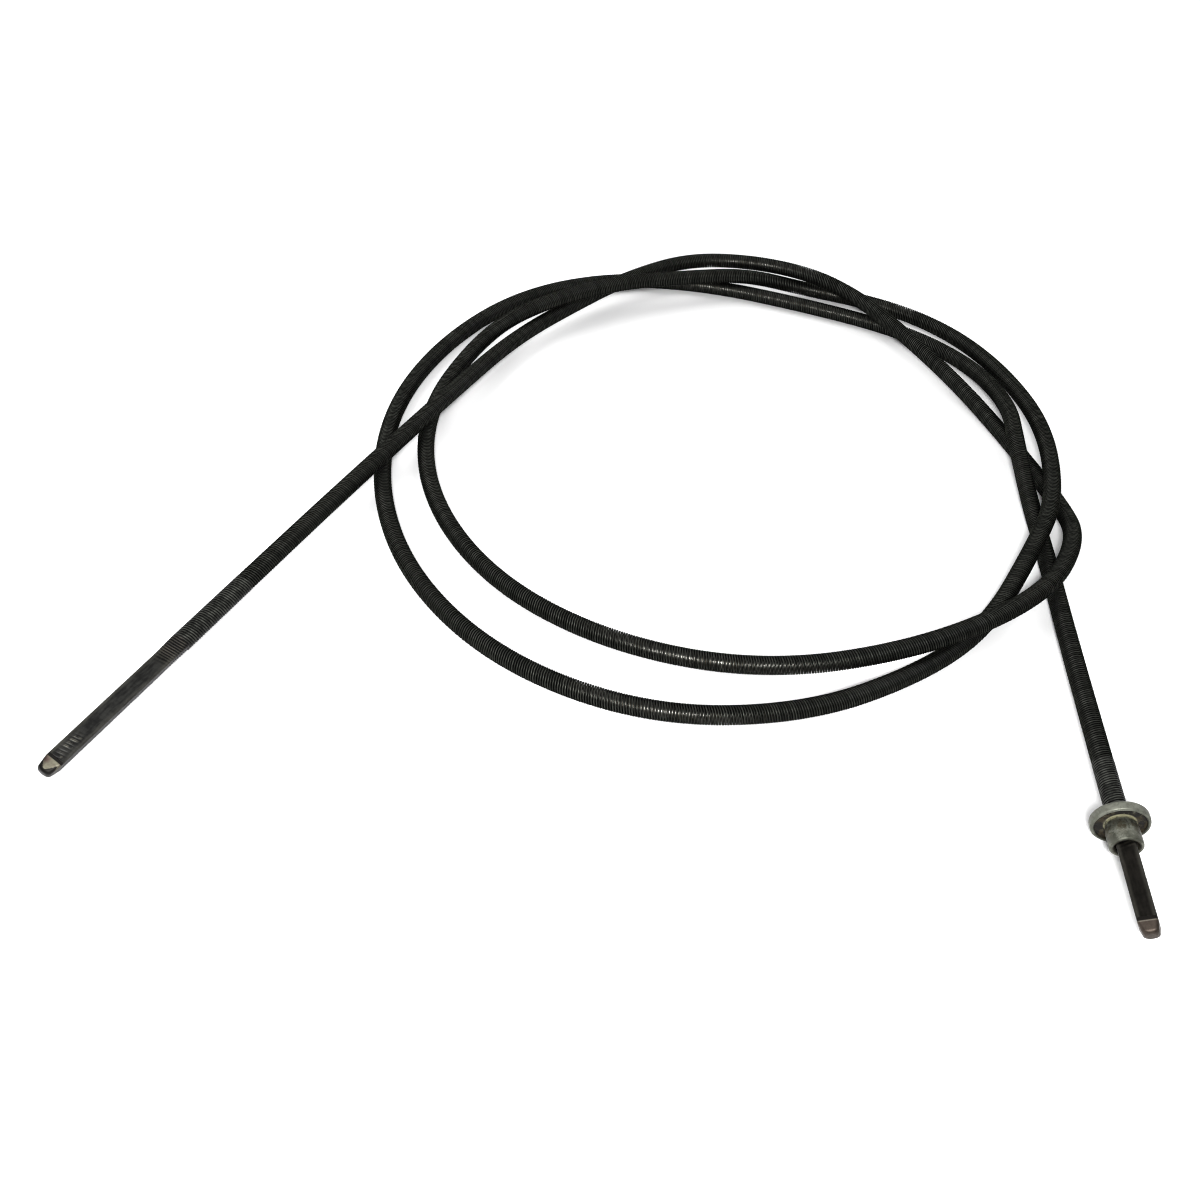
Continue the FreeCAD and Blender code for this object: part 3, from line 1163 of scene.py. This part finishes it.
# ---------------------------------------------------------------------------------------------
# The studio
# ---------------------------------------------------------------------------------------------
@dataclass
class Eye:
    """The camera: where it stands and how it looks down and leans, in metres and degrees."""

    place: tuple[float, float, float] = (-0.0050, -0.15355, 0.1340)
    down: float = 46.4
    lean: float = 5.0
    lens: float = 33.0

    def build(self) -> bpy.types.Object:
        """Makes the camera and sets it as the scene's.

        Returns:
            The camera.
        """
        data = bpy.data.cameras.new("camera")
        data.lens = self.lens
        data.clip_start = 0.005
        camera = bpy.data.objects.new("camera", data)
        bpy.context.scene.collection.objects.link(camera)
        tilt = Matrix.Rotation(math.radians(90 - self.down), 4, "X")
        roll = Matrix.Rotation(math.radians(self.lean), 4, "Z")
        camera.matrix_world = Matrix.Translation(self.place) @ tilt @ roll
        bpy.context.scene.camera = camera
        return camera


@dataclass
class Softbox:
    """A soft light that points at the middle of the coil."""

    name: str
    place: tuple[float, float, float]
    size: float
    watts: float

    def build(self) -> bpy.types.Object:
        """Makes the light.

        Returns:
            The light.
        """
        data = bpy.data.lights.new(self.name, "AREA")
        data.shape = "DISK"
        data.size = self.size
        data.energy = self.watts
        light = bpy.data.objects.new(self.name, data)
        bpy.context.scene.collection.objects.link(light)
        light.location = self.place
        light.rotation_euler = (-Vector(self.place)).to_track_quat("-Z", "Y").to_euler()
        return light


@dataclass
class Studio:
    """The plain floor, the even light all round and the softboxes."""

    sky: float = 0.42
    floor_half: float = 2.5
    floor_drop: float = 0.03 * MM
    filter_width: float = 1.0
    lights: tuple[Softbox, ...] = (
        Softbox("window_left", (-0.42, 0.30, 0.60), 0.70, 3.6),
        Softbox("window_right", (0.55, 0.60, 0.60), 0.90, 3.6),
        Softbox("lamp_front", (-0.004, -0.20, 0.175), 0.05, 0.75),
    )

    def build(self) -> None:
        """Makes the floor, the sky and the lights."""
        half = self.floor_half
        mesh = bpy.data.meshes.new("floor")
        corners = [(-half, -half, 0), (half, -half, 0), (half, half, 0), (-half, half, 0)]
        mesh.from_pydata(corners, [], [(0, 1, 2, 3)])
        mesh.materials.append(PalePaper().make())
        floor = bpy.data.objects.new("floor", mesh)
        floor.location = (0, 0, -self.floor_drop)
        bpy.context.scene.collection.objects.link(floor)
        world = bpy.data.worlds.new("pale_room")
        world.use_nodes = True
        sky = world.node_tree.nodes["Background"]
        sky.inputs["Color"].default_value = rgba(1.0, 1.0, 1.0)
        sky.inputs["Strength"].default_value = self.sky
        bpy.context.scene.world = world
        for light in self.lights:
            light.build()
        bpy.context.scene.view_settings.view_transform = "Standard"
        bpy.context.scene.cycles.filter_width = self.filter_width


# ---------------------------------------------------------------------------------------------
# The whole shaft
# ---------------------------------------------------------------------------------------------
def dress_hidden_nodes(finish: bpy.types.Material) -> None:
    """Gives the layers inside the ends their material.

    Args:
        finish: The material.
    """
    for end in ("long", "collar"):
        for layer in ("core_wire", "first_winding", "second_winding", "third_winding"):
            node = bpy.data.objects[f"{end}_{layer}"]
            node.data.materials.clear()
            node.data.materials.append(finish)


def main() -> None:
    """Builds the camera and the shaft first, then the collar, the hidden layers and the studio."""
    logging.basicConfig(level=logging.INFO)
    Eye().build()
    winding = Winding()
    line = Centreline(ROUTE)
    LOG.info("run: %.1f mm along its smooth line", line.length / MM)
    run = CoiledRun(line, winding)
    oiled = OiledWire().make()
    inner = InnerWire().make()
    layers = run.build_inner(inner)
    wires = [run.build_wire(number, oiled) for number in range(winding.wires)]
    for piece in layers + wires:
        LOG.info("run: %s", piece.name)

    long_end = SwagedEnd(
        name="long", body="long_end", frame=line.start, winding=winding, roll=-28.0,
        first_angle=0.0, round_length=14.4 * MM, taper=4.4 * MM, square=20.7 * MM,
        tip=2.5 * MM, step=0.75, end_ridges=1.0, facets=1.0, painted_side_reflection=0.0, stub=0.20,
    )
    collar_end = SwagedEnd(
        name="collar", body="collar_end", frame=line.finish, winding=winding, roll=30.0,
        first_angle=run.angle_at_finish(), round_length=12.8 * MM, taper=2.0 * MM,
        square=11.7 * MM, tip=2.2 * MM, step=0.2, end_ridges=0.0, facets=0.0, painted_side_reflection=0.6,
        stub=0.28,
    )
    long_steel = SwagedSteel("long_steel", rgba(0.013, 0.013, 0.0125), rgba(0.029, 0.029, 0.027))
    collar_steel = SwagedSteel(
        "collar_steel", rgba(0.0042, 0.0038, 0.003), rgba(0.009, 0.008, 0.0066)
    )
    pale_tip = FusedMetal(
        "pale_tip", rgba(0.135, 0.13, 0.095), rgba(0.05, 0.032, 0.028), rgba(0.011, 0.010, 0.009)
    )
    brown_tip = FusedMetal(
        "brown_tip", rgba(0.052, 0.041, 0.033), rgba(0.028, 0.020, 0.016), rgba(0.006, 0.005, 0.004)
    )
    on_shaft = [
        long_end.build_winding(long_steel.make()),
        long_end.build_tip(pale_tip.make()),
        collar_end.build_winding(collar_steel.make()),
        collar_end.build_tip(brown_tip.make()),
    ]
    collar = RetainingCollar(line.finish, collar_end.roll)
    on_shaft.append(collar.build(ZincPlate().make()))
    for piece in on_shaft:
        LOG.info("ends: %s", piece.name)
    dress_hidden_nodes(inner)
    Studio().build()


if __name__ == "__main__":
    main()
